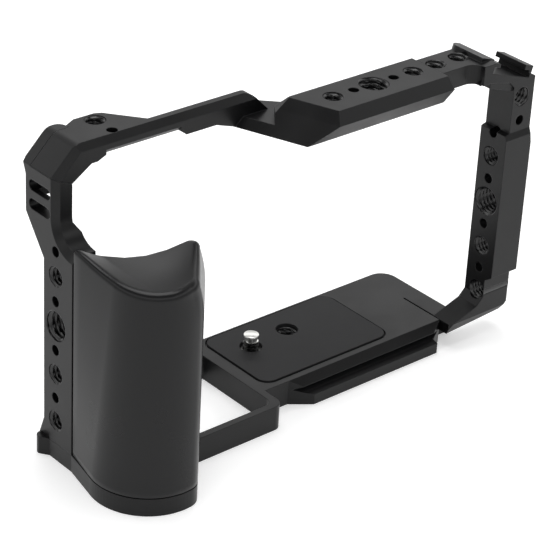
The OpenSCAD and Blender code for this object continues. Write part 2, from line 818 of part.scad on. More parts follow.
// Camera screw: head with an axle hole, neck and thread
module camera_screw() {
  top = base_h + pad_proud + screw_out;
  neck_top = base_h + pad_proud + run_gap;
  color(steel) placed() translate([screw_x, screw_y, 0]) difference() {
    union() {
      translate([0, 0, well_h - run_gap - head_h]) cylinder(d = head_d, h = head_h);
      translate([0, 0, well_h - run_gap - over / 2]) cylinder(d = neck_d, h = neck_top - well_h + over);
      translate([0, 0, neck_top]) cylinder(d = screw_d, h = top - neck_top - (screw_d - tip_d) / 2);
      translate([0, 0, top - (screw_d - tip_d) / 2]) cylinder(d1 = screw_d, d2 = tip_d, h = (screw_d - tip_d) / 2);
    }
    translate([-head_d, 0, axle_z]) rotate([0, 90, 0]) cylinder(d = ring_axle_d + 2 * run_gap, h = 2 * head_d);
  }
}

// Folding ring: half a hoop on a straight axle
module screw_ring() {
  color(steel) placed() translate([screw_x, screw_y, axle_z]) union() {
    intersection() {
      rotate_extrude() translate([ring_in + ring_wire / 2, 0]) circle(d = ring_wire, $fn = 24);
      translate([-well_r, 0, -ring_wire]) cube([2 * well_r, well_r, 2 * ring_wire]);
    }
    for (s = [-1, 1]) translate([s * (ring_in + ring_wire / 2), 0, 0]) sphere(d = ring_wire, $fn = 24);
    translate([-ring_in - ring_wire / 2, 0, 0]) rotate([0, 90, 0])
      cylinder(d = ring_axle_d, h = 2 * ring_in + ring_wire);
  }
}

// Retaining ring on the screw's neck
module retaining_ring() {
  color(steel) placed() translate([screw_x, screw_y, clip_z]) difference() {
    cylinder(d = clip_d, h = clip_t);
    translate([0, 0, -over]) cylinder(d = neck_d + 2 * run_gap, h = clip_t + 2 * over);
  }
}

// Countersunk screws
module small_screw(l) {
  cylinder(d = m3_head_d, h = m3_head_h);
  cylinder(d = m3_d, h = l);
}

module corner_screw(l) {
  cylinder(d = corner_head_d, h = corner_head_h);
  cylinder(d = corner_screw_d, h = l);
}

module arm_top_screws() {
  color(steel) placed() for (p = arm_screw_places())
    translate([p[0], strip_rear - corner_sink, p[1]]) rotate([90, 0, 0])
      corner_screw(arm_screw_l - corner_sink);
}

module arm_foot_screws() {
  color(steel) placed() for (p = foot_screw_places())
    translate([p[0], p[1], head_sink]) small_screw(foot_screw_l);
}

module grip_screws() {
  color(steel) placed() for (p = grip_screw_places())
    translate([p[0], p[1], head_sink]) small_screw(grip_screw_l);
}

base_plate();
right_column();
top_rail();
side_arm();
grip_body();
base_pad();
camera_screw();
screw_ring();
retaining_ring();
arm_top_screws();
arm_foot_screws();
grip_screws();
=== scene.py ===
"""Dresses the camera cage: anodised frame, moulded grip, cut threads, turned screw and the studio round it."""
import json
import math
import bpy
import numpy as np
from mathutils import Matrix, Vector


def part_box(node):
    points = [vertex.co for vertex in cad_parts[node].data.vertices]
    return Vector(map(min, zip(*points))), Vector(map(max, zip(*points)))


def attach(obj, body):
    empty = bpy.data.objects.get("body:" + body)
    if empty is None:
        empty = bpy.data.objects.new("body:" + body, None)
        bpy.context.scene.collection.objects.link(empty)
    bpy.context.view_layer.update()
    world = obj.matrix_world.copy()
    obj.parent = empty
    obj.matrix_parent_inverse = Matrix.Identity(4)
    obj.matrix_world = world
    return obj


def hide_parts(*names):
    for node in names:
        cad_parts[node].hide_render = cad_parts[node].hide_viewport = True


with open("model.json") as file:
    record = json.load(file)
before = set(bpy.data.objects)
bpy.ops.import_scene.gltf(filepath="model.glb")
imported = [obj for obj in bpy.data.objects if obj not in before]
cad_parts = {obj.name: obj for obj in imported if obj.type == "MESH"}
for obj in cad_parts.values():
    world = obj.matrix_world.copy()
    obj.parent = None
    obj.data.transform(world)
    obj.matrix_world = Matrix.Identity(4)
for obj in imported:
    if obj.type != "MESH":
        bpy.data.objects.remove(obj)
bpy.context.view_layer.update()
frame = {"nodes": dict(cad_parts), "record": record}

bl_info = {
    "name": "Camera cage dressing",
    "version": (1, 0, 0),
    "blender": (4, 5, 0),
    "location": "3D View > Sidebar > Cage",
    "description": "Finishes, threads, grip shell and studio for the camera cage",
    "category": "Object",
}

MM = 0.001
# Radius in millimetres at which a turned surface ends beside its axis
POLE = 0.02
# Direction in degrees that the grip's flat flank faces, from +X
FLANK_TURN = -39.8
RECORD = frame["record"]
MOUNTS = {mount["name"]: mount for mount in RECORD["mounts"]}


# Sizes and colours that a user may change

class CageFinish(bpy.types.PropertyGroup):
    metal_colour: bpy.props.StringProperty(
        name="Metal colour", description="Colour of the anodised metal as sRGB hex", default="#0A0A0B")
    metal_roughness: bpy.props.FloatProperty(
        name="Metal roughness", description="Roughness of the blasted and anodised surface",
        default=0.36, min=0.15, max=0.7, subtype="FACTOR")
    edge_radius: bpy.props.FloatProperty(
        name="Edge radius", description="Radius of the broken edges that catch the light",
        default=0.35 * MM, min=0.05 * MM, max=1.0 * MM, unit="LENGTH")
    grip_colour: bpy.props.StringProperty(
        name="Grip colour", description="Colour of the grip's coat as sRGB hex", default="#111112")
    grip_lip: bpy.props.FloatProperty(
        name="Grip lip", description="Radius of the rounded edge round the grip's top",
        default=2.6 * MM, min=0.4 * MM, max=4.0 * MM, unit="LENGTH")
    pad_colour: bpy.props.StringProperty(
        name="Pad colour", description="Colour of the rubber pad as sRGB hex", default="#1E1E1F")
    steel_colour: bpy.props.StringProperty(
        name="Steel colour", description="Colour of the bright steel as sRGB hex", default="#B9B9B6")
    small_pitch: bpy.props.FloatProperty(
        name="Small thread pitch", description="Pitch of the small tripod threads",
        default=1.27 * MM, min=0.8 * MM, max=2.0 * MM, unit="LENGTH")
    large_pitch: bpy.props.FloatProperty(
        name="Large thread pitch", description="Pitch of the large tripod threads",
        default=1.5875 * MM, min=1.0 * MM, max=2.5 * MM, unit="LENGTH")


class CageStudio(bpy.types.PropertyGroup):
    lens: bpy.props.FloatProperty(
        name="Lens", description="Focal length in millimetres on a 36 mm sensor", default=144.64, min=20, max=300)
    azimuth: bpy.props.FloatProperty(
        name="Azimuth", description="Turn of the viewing direction about the vertical",
        default=math.radians(-41.98), unit="ROTATION")
    elevation: bpy.props.FloatProperty(
        name="Elevation", description="Height of the viewing direction above the horizon",
        default=math.radians(29.19), unit="ROTATION")
    roll: bpy.props.FloatProperty(
        name="Roll", description="Turn of the camera about its own axis",
        default=math.radians(3.26), unit="ROTATION")
    place: bpy.props.FloatVectorProperty(
        name="Place", description="Where the camera stands", default=(-0.4014, -0.43805, 0.3715),
        size=3, unit="LENGTH")
    floor_colour: bpy.props.StringProperty(
        name="Floor colour", description="Colour of the studio floor as sRGB hex", default="#F2F2F2")


# Helpers for colours, nodes and meshes

def linear(hex_colour):
    """Turns an sRGB hex value into linear red, green, blue and alpha."""
    parts = [int(hex_colour[i:i + 2], 16) / 255 for i in (1, 3, 5)]
    return tuple(p / 12.92 if p <= 0.04045 else ((p + 0.055) / 1.055) ** 2.4 for p in parts) + (1.0,)


def lighter(hex_colour, factor):
    """The linear colour of an sRGB hex value, times a factor."""
    return tuple(factor * part for part in linear(hex_colour)[:3]) + (1.0,)


def add_node(tree, kind, inputs=None, **settings):
    """Adds one node, sets its settings, and fills or links its inputs."""
    node = tree.nodes.new(kind)
    for key, value in settings.items():
        setattr(node, key, value)
    for key, value in (inputs or {}).items():
        if isinstance(value, bpy.types.NodeSocket):
            tree.links.new(value, node.inputs[key])
        else:
            node.inputs[key].default_value = value
    return node


def empty_material(name):
    """A material with an empty node tree and its output node."""
    material = bpy.data.materials.new(name)
    material.use_nodes = True
    material.node_tree.nodes.clear()
    output = add_node(material.node_tree, "ShaderNodeOutputMaterial")
    return material, material.node_tree, output


def grid_faces(rows, columns, closed_rows=False):
    """Quads over a grid of points stored row by row. The last column joins the first, and the last row joins the
    first where the rows are closed."""
    rr, cc = np.meshgrid(np.arange(rows if closed_rows else rows - 1), np.arange(columns), indexing="ij")
    r2, c2 = (rr + 1) % rows, (cc + 1) % columns
    quads = np.stack([rr * columns + cc, rr * columns + c2, r2 * columns + c2, r2 * columns + cc], axis=-1)
    return quads.reshape(-1, 4)


def joined(parts):
    """Joins pairs of points and faces into one pair."""
    starts = np.cumsum([0] + [len(points) for points, faces in parts[:-1]])
    return (np.concatenate([points for points, faces in parts]),
            np.concatenate([faces + start for (points, faces), start in zip(parts, starts)]))


def make_piece(name, points, faces, material, body, slot, sharp_angle=35.0):
    """Makes a mesh object at the origin from points in metres and faces, and rides it on a body. Edges that turn
    by more than the sharp angle in degrees stay crisp."""
    mesh = bpy.data.meshes.new(name)
    mesh.from_pydata(points.reshape(-1, 3).tolist(), [], faces.tolist() if isinstance(faces, np.ndarray) else faces)
    mesh.validate()
    mesh.update()
    piece = bpy.data.objects.new(name, mesh)
    bpy.context.scene.collection.objects.link(piece)
    mesh.materials.append(material)
    mesh.shade_smooth()
    mesh.set_sharp_from_angle(angle=math.radians(sharp_angle))
    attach(piece, body)
    return piece


def axis_frame(axis):
    """Two directions square to an axis, so that the three form a right-handed set."""
    axis = np.array(axis, float)
    axis = axis / np.linalg.norm(axis)
    side = np.array([0.0, 0.0, 1.0]) if abs(axis[2]) < 0.9 else np.array([1.0, 0.0, 0.0])
    first = np.cross(side, axis)
    first = first / np.linalg.norm(first)
    return first, np.cross(axis, first), axis


def screw_centre():
    """The point on the floor under the camera screw's axis."""
    low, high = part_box("camera_screw")
    return (low[0] + high[0]) / 2, (low[1] + high[1]) / 2, 0


# Finishes

def anodised_aluminium(finish):
    """Aluminium milled, blasted with fine beads and anodised black: a dyed oxide skin with an even satin gloss,
    a grain of about 0.1 mm, and a painted highlight that makes the edges slightly brighter."""
    material, tree, output = empty_material("Anodised aluminium, bead blasted")
    place = add_node(tree, "ShaderNodeTexCoord").outputs["Object"]
    # Blasting grit of 0.1 mm is drawn at 0.25 mm so that it shows
    grain = add_node(tree, "ShaderNodeTexNoise", {"Vector": place, "Scale": 1 / (0.25 * MM), "Detail": 2.0})
    # Handling and dye leave clouds of about 12 mm
    clouds = add_node(tree, "ShaderNodeTexNoise", {"Vector": place, "Scale": 1 / (12 * MM), "Detail": 3.0})
    rounded = add_node(tree, "ShaderNodeBevel", {"Radius": finish.edge_radius}, samples=6)
    true_normal = add_node(tree, "ShaderNodeNewGeometry").outputs["Normal"]
    # Painted highlight: near the edges, where the rounded normal turns from the true one, the colour is lightened
    # towards grey, standing in for the light that the edges catch.
    turn = add_node(tree, "ShaderNodeVectorMath", {0: rounded.outputs[0], 1: true_normal}, operation="DOT_PRODUCT")
    edge = add_node(tree, "ShaderNodeMapRange", {
        "Value": turn.outputs["Value"], "From Min": 0.99, "From Max": 0.8, "To Min": 0.0, "To Max": 0.35})
    dyed = add_node(tree, "ShaderNodeMix", {
        "Factor": clouds.outputs["Fac"], 6: linear(finish.metal_colour),
        7: lighter(finish.metal_colour, 1.25)}, data_type="RGBA")
    painted_edge_highlight = add_node(tree, "ShaderNodeMix", {
        "Factor": edge.outputs["Result"], 6: dyed.outputs[2], 7: linear("#3A3B3D")}, data_type="RGBA")
    gloss = add_node(tree, "ShaderNodeMapRange", {
        "Value": clouds.outputs["Fac"], "From Min": 0.3, "From Max": 0.7,
        "To Min": finish.metal_roughness - 0.03, "To Max": finish.metal_roughness + 0.04})
    bump = add_node(tree, "ShaderNodeBump", {
        "Height": grain.outputs["Fac"], "Distance": 0.01 * MM, "Strength": 0.35, "Normal": rounded.outputs[0]})
    shader = add_node(tree, "ShaderNodeBsdfPrincipled", {
        "Base Color": painted_edge_highlight.outputs[2], "Roughness": gloss.outputs["Result"], "Normal": bump.outputs[0],
        "Metallic": 0.0, "IOR": 1.5, "Specular IOR Level": 0.26})
    tree.links.new(shader.outputs[0], output.inputs[0])
    return material


def cut_thread(finish):
    """The flanks of a thread cut in anodised aluminium: the same skin over fine turning marks, slightly brighter."""
    material, tree, output = empty_material("Anodised aluminium, cut thread")
    place = add_node(tree, "ShaderNodeTexCoord").outputs["Object"]
    # Tool marks of 0.1 mm are drawn at 0.3 mm so that they show
    marks = add_node(tree, "ShaderNodeTexNoise", {"Vector": place, "Scale": 1 / (0.3 * MM), "Detail": 2.0})
    tone = add_node(tree, "ShaderNodeMix", {
        "Factor": marks.outputs["Fac"], 6: linear(finish.metal_colour), 7: linear("#161617")}, data_type="RGBA")
    bump = add_node(tree, "ShaderNodeBump", {"Height": marks.outputs["Fac"], "Distance": 0.01 * MM, "Strength": 0.4})
    shader = add_node(tree, "ShaderNodeBsdfPrincipled", {
        "Base Color": tone.outputs[2], "Normal": bump.outputs[0], "Roughness": 0.24, "IOR": 1.5})
    tree.links.new(shader.outputs[0], output.inputs[0])
    return material


def grip_coat(finish):
    """Moulded glass-filled nylon under a soft coat: nearly even, with a faint pore of about 0.4 mm, clouds of
    20 mm and a wide soft gloss."""
    material, tree, output = empty_material("Moulded nylon with soft coat")
    place = add_node(tree, "ShaderNodeTexCoord").outputs["Object"]
    pores = add_node(tree, "ShaderNodeTexNoise", {"Vector": place, "Scale": 1 / (0.4 * MM), "Detail": 1.0})
    clouds = add_node(tree, "ShaderNodeTexNoise", {"Vector": place, "Scale": 1 / (20 * MM), "Detail": 2.0})
    tone = add_node(tree, "ShaderNodeMix", {
        "Factor": clouds.outputs["Fac"], 6: linear(finish.grip_colour),
        7: lighter(finish.grip_colour, 1.2)}, data_type="RGBA")
    gloss = add_node(tree, "ShaderNodeMapRange", {
        "Value": clouds.outputs["Fac"], "From Min": 0.3, "From Max": 0.7, "To Min": 0.27, "To Max": 0.33})
    bump = add_node(tree, "ShaderNodeBump", {"Height": pores.outputs["Fac"], "Distance": 0.01 * MM, "Strength": 0.25})
    shader = add_node(tree, "ShaderNodeBsdfPrincipled", {
        "Base Color": tone.outputs[2], "Roughness": gloss.outputs["Result"], "Normal": bump.outputs[0], "IOR": 1.5,
        "Specular IOR Level": 0.27})
    tree.links.new(shader.outputs[0], output.inputs[0])
    return material


def silicone_rubber(finish):
    """Die-cut silicone rubber sheet: dull, with the fine tooth of its mould, mottling of about 5 mm as of lint, and
    an edge that looks rounded by 0.25 mm."""
    material, tree, output = empty_material("Silicone rubber sheet")
    place = add_node(tree, "ShaderNodeTexCoord").outputs["Object"]
    tooth = add_node(tree, "ShaderNodeTexNoise", {"Vector": place, "Scale": 1 / (0.35 * MM), "Detail": 3.0})
    mottle = add_node(tree, "ShaderNodeTexNoise", {"Vector": place, "Scale": 1 / (5 * MM), "Detail": 4.0})
    rounded = add_node(tree, "ShaderNodeBevel", {"Radius": 0.25 * MM}, samples=6)
    tone = add_node(tree, "ShaderNodeMix", {
        "Factor": mottle.outputs["Fac"], 6: linear(finish.pad_colour),
        7: lighter(finish.pad_colour, 1.25)}, data_type="RGBA")
    bump = add_node(tree, "ShaderNodeBump", {
        "Height": tooth.outputs["Fac"], "Distance": 0.03 * MM, "Strength": 0.4, "Normal": rounded.outputs[0]})
    shader = add_node(tree, "ShaderNodeBsdfPrincipled", {
        "Base Color": tone.outputs[2], "Roughness": 0.6, "Normal": bump.outputs[0], "IOR": 1.33})
    tree.links.new(shader.outputs[0], output.inputs[0])
    return material


def turned_steel(centre, name, colour, shade_colour=None, shade_from=0.0, shade_to=0.0):
    """Steel turned on a lathe: bright, with rings round the axis at centre. With a shade colour, the part between
    two heights has it as painted shade, for a thread that lies in shadow."""
    material, tree, output = empty_material(name)
    place = add_node(tree, "ShaderNodeTexCoord").outputs["Object"]
    centred = add_node(tree, "ShaderNodeMapping", {"Vector": place, "Location": tuple(-c for c in centre)})
    # Turning marks of 0.1 mm are drawn at 0.4 mm so that they show; a wave repeats after 0.314 over its scale
    rings = add_node(tree, "ShaderNodeTexWave", {
        "Vector": centred.outputs[0], "Scale": 1 / (1.26 * MM), "Distortion": 0.5}, wave_type="RINGS",
        rings_direction="Z")
    smears = add_node(tree, "ShaderNodeTexNoise", {"Vector": place, "Scale": 1 / (2 * MM), "Detail": 3.0})
    gloss = add_node(tree, "ShaderNodeMapRange", {"Value": smears.outputs["Fac"], "To Min": 0.22, "To Max": 0.4})
    bump = add_node(tree, "ShaderNodeBump", {"Height": rings.outputs["Fac"], "Distance": 0.01 * MM, "Strength": 0.3})
    # Painted shade: between the two heights the colour turns to the shade colour, darkening the thread as though it
    # lay in shadow.
    tone = add_node(tree, "ShaderNodeMix", {6: linear(colour), 7: linear(shade_colour or colour)}, data_type="RGBA")
    height = add_node(tree, "ShaderNodeSeparateXYZ", {0: place})
    below = add_node(tree, "ShaderNodeMath", {0: height.outputs["Z"], 1: shade_to}, operation="LESS_THAN")
    above = add_node(tree, "ShaderNodeMath", {0: height.outputs["Z"], 1: shade_from}, operation="GREATER_THAN")
    dark = add_node(tree, "ShaderNodeMath", {0: below.outputs[0], 1: above.outputs[0]}, operation="MULTIPLY")
    tree.links.new(dark.outputs[0], tone.inputs["Factor"])
    shader = add_node(tree, "ShaderNodeBsdfPrincipled", {
        "Base Color": tone.outputs[2], "Metallic": 1.0, "Roughness": gloss.outputs["Result"],
        "Normal": bump.outputs[0]})
    tree.links.new(shader.outputs[0], output.inputs[0])
    return material


# Shapes

def thread_liner(mount, pitch):
    """A cut thread in a bore. Over turn t and depth z the inner radius is the bore's radius less a triangle wave
    of z/pitch - t/turn, as deep as 0.56 pitch, which fades out at both mouths over half a pitch; the outer wall
    lies just inside the metal round the bore."""
    turns, rows_a_pitch = 48, 8
    depth_share, fade_share, into_metal = 0.56, 0.5, 0.02 * MM
    radius, length = mount["dims"]["r_mm"] * MM, mount["dims"]["length_mm"] * MM
    first, second, axis = axis_frame(mount["axis"])
    rows = int(round(length / pitch * rows_a_pitch)) + 1
    t = np.linspace(0, 2 * np.pi, turns, endpoint=False)[None, :]
    z = np.linspace(-length / 2, length / 2, rows)[:, None]
    wave = np.abs(((z / pitch - t / (2 * np.pi)) % 1.0) * 2 - 1)
    tooth = np.clip(wave * 1.25 - 0.1, 0, 1)
    fade = np.clip((length / 2 - np.abs(z)) / (fade_share * pitch), 0, 1)
    inner = radius - depth_share * pitch * tooth * fade
    outer = np.full_like(inner, radius + into_metal)
    r = np.concatenate([inner, outer[::-1]])
    zz = np.concatenate([np.broadcast_to(z, inner.shape), np.broadcast_to(z[::-1], inner.shape)])
    tt = np.broadcast_to(t, r.shape)[..., None]
    outwards = np.cos(tt) * first + np.sin(tt) * second
    points = np.array(mount["pos_m"]) + r[..., None] * outwards + zz[..., None] * axis
    faces = grid_faces(2 * rows, turns, closed_rows=True)
    return points.reshape(-1, 3), faces[:, ::-1]


def turned_body(profile, centre, threads, knurls):
    """A turned body about the upright axis at centre, with its sizes in millimetres. Over turn t the radius follows
    the profile's (radius, height) points; between the heights of threads it loses a triangle wave of
    height/pitch - t/turn wherever it is wider than the neck, and between the heights of knurls it loses 0.12 mm
    times the size of sin(count t)."""
    turns, depth_share, knurl = 80, 0.5, 0.12 * MM
    neck, run_in = 2.2 * MM, 0.3 * MM
    profile = np.array(profile) * MM
    t = np.linspace(0, 2 * np.pi, turns, endpoint=False)[None, :]
    r = np.broadcast_to(profile[:, :1], (len(profile), turns)).copy()
    z = np.broadcast_to(profile[:, 1:], (len(profile), turns))
    low, high, pitch = (value * MM for value in threads)
    wave = np.abs(((z / pitch - t / (2 * np.pi)) % 1.0) * 2 - 1)
    depth = np.where((z > low) & (z < high), depth_share * pitch * np.clip(1.25 * wave - 0.15, 0, 1), 0)
    r = r - depth * np.clip((r - neck) / run_in, 0, 1)
    low, high, count = knurls
    r = r - np.where((z > low * MM) & (z < high * MM), knurl * np.abs(np.sin(count * t)), 0)
    points = np.stack([centre[0] + r * np.cos(t), centre[1] + r * np.sin(t), centre[2] + z], axis=-1)
    return points.reshape(-1, 3), grid_faces(len(profile), turns)


def socket_screw(seat, axis, head_radius, head_height, shank_radius, length, hexagon, pitch):
    """A socket screw about an axis that points out of its head, seat being the middle of the head's face. Over turn t
    the radius follows a profile of (radius, depth) points; inside the socket it is that of a hexagon,
    a / cos(((t + 30) mod 60) - 30), and along the shank it loses a triangle wave of depth/pitch - t/turn."""
    turns, rows_a_pitch, depth_share = 48, 6, 0.5
    socket_depth, point = 0.6 * head_height, 0.3
    socket_rows, shank_rows = slice(1, 4), slice(9, -2)
    first, second, axis = axis_frame(axis)
    t = np.linspace(0, 2 * np.pi, turns, endpoint=False)[None, :]
    profile = [(POLE, socket_depth), (hexagon, socket_depth), (hexagon, 0.08), (hexagon + 0.08, 0.0),
               (head_radius - 0.2, 0.0), (head_radius - 0.05, 0.06), (head_radius, 0.2),
               (head_radius, head_height), (shank_radius, head_height)]
    shank = np.arange(head_height + 0.05, length - point, pitch / rows_a_pitch)
    profile += [(shank_radius, depth) for depth in shank]
    profile += [(shank_radius - 0.25, length), (POLE, length)]
    profile = np.array(profile)
    depth = np.broadcast_to(profile[:, 1:], (len(profile), turns))
    r = np.broadcast_to(profile[:, :1], (len(profile), turns)).copy()
    r[socket_rows] = r[socket_rows] / np.cos((t + np.pi / 6) % (np.pi / 3) - np.pi / 6)
    r[shank_rows] -= depth_share * pitch * np.abs(((depth[shank_rows] / pitch - t / (2 * np.pi)) % 1.0) * 2 - 1)
    outwards = np.cos(t)[..., None] * first + np.sin(t)[..., None] * second
    points = np.array(seat) + (r * MM)[..., None] * outwards - (depth * MM)[..., None] * axis
    return points.reshape(-1, 3), grid_faces(len(profile), turns)[:, ::-1]


def arc_points(cx, cy, radius, start, end, count):
    """Points on an arc in millimetres: centre plus radius times cosine and sine of the angle."""
    a = np.radians(np.linspace(start, end, count))
    return np.stack([cx + radius * np.cos(a), cy + radius * np.sin(a)], axis=-1)


def straight_points(a, b, count):
    """Evenly spaced points between two, the first one left out."""
    s = np.linspace(0, 1, count + 1)[1:, None]
    return np.array(a) * (1 - s) + np.array(b) * s


def grip_outline(cx, cy, radius, flat):
    """The grip's outline at one height, in millimetres from the arm's outer edge: arcs and straight runs for a round
    front about (cx, cy), a small front corner, a flank that lies flat from the same centre, and a rounded heel."""
    corner, heel, heel_back = 6.0, 3.0, 11.6
    # The arm's width, and the place of its front face
    arm, front = 8.0, -7.9
    # The upright edge beside the arm is broken by this much, which draws the seam
    seam = 1.0
    ct, st = math.cos(math.radians(FLANK_TURN)), math.sin(math.radians(FLANK_TURN))
    inner = flat - corner
    span = math.sqrt((radius - corner) ** 2 - inner ** 2)
    fx, fy = cx + inner * ct + span * st, cy + inner * st - span * ct
    hx, hy = cx + (flat - heel) * ct - heel_back * st, cy + (flat - heel) * st + heel_back * ct
    start = math.degrees(math.atan2(fy - cy, fx - cx))
    back = math.degrees(math.atan2(hx - arm, front - hy))
    # The left wall runs straight into the round front, so the arc starts at the tangent's point
    away = math.hypot(cx, front - cy)
    tangent = math.degrees(math.atan2(front - cy, -cx) + math.acos(radius / away))
    round_front = arc_points(cx, cy, radius, tangent, 360 + start, 72)
    front_corner = arc_points(fx, fy, corner, start, FLANK_TURN, 18)[1:]
    heel_arc = arc_points(hx, hy, heel, FLANK_TURN, back, 14)
    beside_arm = arc_points(seam, front - seam, seam, 90, 175, 6)
    return np.concatenate([
        beside_arm, straight_points(beside_arm[-1], round_front[0], 5), round_front[1:], front_corner,
        straight_points(front_corner[-1], heel_arc[0], 16), heel_arc[1:],
        straight_points(heel_arc[-1], (arm, front), 4), straight_points((arm, front), (seam, front), 5)[:-1]])


def grip_shell(finish):
    """The grip as one closed surface over turn u and height v. Up the side each point runs straight from the foot's
    outline to the top's outline, and near the top the flat flank leans in by up to 2 mm; the top is a hollow
    cylinder of radius 40 mm about an axis that is turned 17 degrees, flatter and 1.2 mm higher towards the front and
    up to 1.6 mm higher beside the arm, and the rim between them is a quarter round."""
    # Where the outline's zero lies in the frame, the grip's front centres at foot and top, and their heights
    origin = np.array([-80.7, 12.35])
    foot_centre, top_centre = (15.1, -24.4), (17.8, -22.5)
    foot = grip_outline(*foot_centre, radius=18.1, flat=14.8)
    top = grip_outline(*top_centre, radius=15.8, flat=13.94)
    foot_z, top_z = 5.8, 80.0
    lip = finish.grip_lip / MM
    # Hollow: its axis, its lowest height, and how it changes from the heel's line to the front
    hollow_radius, hollow_turn, hollow_z = 40, math.radians(17), 68.4
    hollow_x, heel_y, front_reach = 19, -12, 26
    flatter, front_rise = 0.6, 1.2
    arm_rise, arm_reach = 1.6, 9
    # Lean of the flank: how far in, and where it starts across and up
    lean_by, lean_across, lean_run, lean_z, lean_height = 2.0, 6, 6, 58, 12
    flank = np.array([math.cos(math.radians(FLANK_TURN)), math.sin(math.radians(FLANK_TURN))])

    def hollow(xy):
        x, y = xy[..., 0], xy[..., 1]
        away = (x - hollow_x) * math.cos(hollow_turn) - (y - heel_y) * math.sin(hollow_turn)
        forward = np.clip((heel_y - y) / front_reach, 0, 1)
        rise = hollow_radius - np.sqrt(np.maximum(hollow_radius ** 2 - away ** 2, 1))
        beside_arm = np.clip((arm_reach - x) / arm_reach, 0, 1) * (1 - forward)
        return hollow_z + rise * (1 - flatter * forward) + front_rise * forward + arm_rise * beside_arm

    def side(height):
        share = (height - foot_z) / (top_z - foot_z)
        xy = foot * (1 - share)[:, None] + top * share[:, None]
        reach = (xy - np.array(top_centre)) @ flank
        lean = np.clip((reach - lean_across) / lean_run, 0, 1) * np.clip((height - lean_z) / lean_height, 0, 1) ** 2
        return xy - lean_by * lean[:, None] * flank

    # The rim is where the side meets the hollow, found in two steps from a height of 72 mm
    rim = hollow(side(hollow(side(np.full(len(foot), 72.0)))))
    rows = []
    # Underside with a small chamfer, drawn in to one point
    middle, chamfer = np.array([14.0, -22.0]), 0.3
    for shrink in (0.015, 0.35, 1.0):
        xy = middle + (foot - middle) * shrink - np.sign(foot - middle) * (chamfer if shrink == 1.0 else 0)
        rows.append(np.column_stack([xy, np.full(len(foot), foot_z)]))
    # Side, from above the chamfer to below the lip
    side_z = foot_z + 0.4
    for share in np.linspace(0, 1, 40):
        z = side_z + share * (rim - lip - side_z)
        rows.append(np.column_stack([side(z), z]))
    # Lip, a quarter round drawn towards the middle of the hollow
    outer = side(rim - lip)
    centre = np.array([16.5, -21.0])
    reach = np.linalg.norm(outer - centre, axis=1)[:, None]
    for angle in np.radians(np.linspace(0, 90, 13)[1:]):
        inward = lip * (1 - math.cos(angle))
        xy = outer + (centre - outer) * (inward / reach)
        rows.append(np.column_stack([xy, hollow(xy) - lip + lip * math.sin(angle)]))
    # Hollow, drawn in to one point
    rest = rows[-1][:, :2]
    for shrink in np.linspace(1, 0.02, 22)[1:]:
        xy = centre + (rest - centre) * shrink
        rows.append(np.column_stack([xy, hollow(xy)]))
    points = np.array(rows)
    points[..., :2] += origin
    count = len(foot)
    faces = grid_faces(len(rows), count).tolist()
    faces.append(list(range(count))[::-1])
    faces.append(list(range((len(rows) - 1) * count, len(rows) * count)))
    return points * MM, faces


# Operators: one for each piece or group, and one for the stage

class CAGE_OT_finishes(bpy.types.Operator):
    """Puts the finishes on the nodes that keep their CAD shape"""
    bl_idname = "cage.finishes"
    bl_label = "Finishes"

    def execute(self, context):
        finish = context.scene.cage_finish
        finishes = {
            "black_metal": anodised_aluminium(finish),
            "pad_rubber": silicone_rubber(finish),
            "steel": turned_steel(screw_centre(), "Stainless steel, drawn and turned", finish.steel_colour),
            "black_steel": turned_steel(screw_centre(), "Blackened steel screws", "#2A2A2C"),
            "grip_shell": grip_coat(finish),
        }
        for part in RECORD["subparts"]:
            node = frame["nodes"][part["node"]]
            node.data.materials.clear()
            node.data.materials.append(finishes[part["material_slot"]])
        return {"FINISHED"}


class CAGE_OT_threads(bpy.types.Operator):
    """Cuts the threads in the accessory holes of arm, column, top and base"""
    bl_idname = "cage.threads"
    bl_label = "Accessory threads"

    def execute(self, context):
        finish = context.scene.cage_finish
        material = cut_thread(finish)
        groups = {}
        for name, mount in MOUNTS.items():
            if mount["kind"] == "threaded_hole":
                groups.setdefault(name.split("_")[0], []).append(mount)
        # Holes of more than this radius in millimetres have the large thread
        large_radius = 4
        for group, mounts in groups.items():
            liners = [thread_liner(mount, finish.large_pitch if mount["dims"]["r_mm"] > large_radius
                                   else finish.small_pitch) for mount in mounts]
            make_piece("threads_" + group, *joined(liners), material, "frame", "black_metal", sharp_angle=50)
        return {"FINISHED"}


class CAGE_OT_grip(bpy.types.Operator):
    """Makes the moulded grip shell with its hollowed top and rounded rim"""
    bl_idname = "cage.grip"
    bl_label = "Grip shell"

    def execute(self, context):
        finish = context.scene.cage_finish
        points, faces = grip_shell(finish)
        piece = make_piece("grip_moulding", points, faces, frame["nodes"]["grip_body"].data.materials[0], "frame",
                           "grip_shell", sharp_angle=50)
        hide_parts("grip_body")
        return {"FINISHED"}


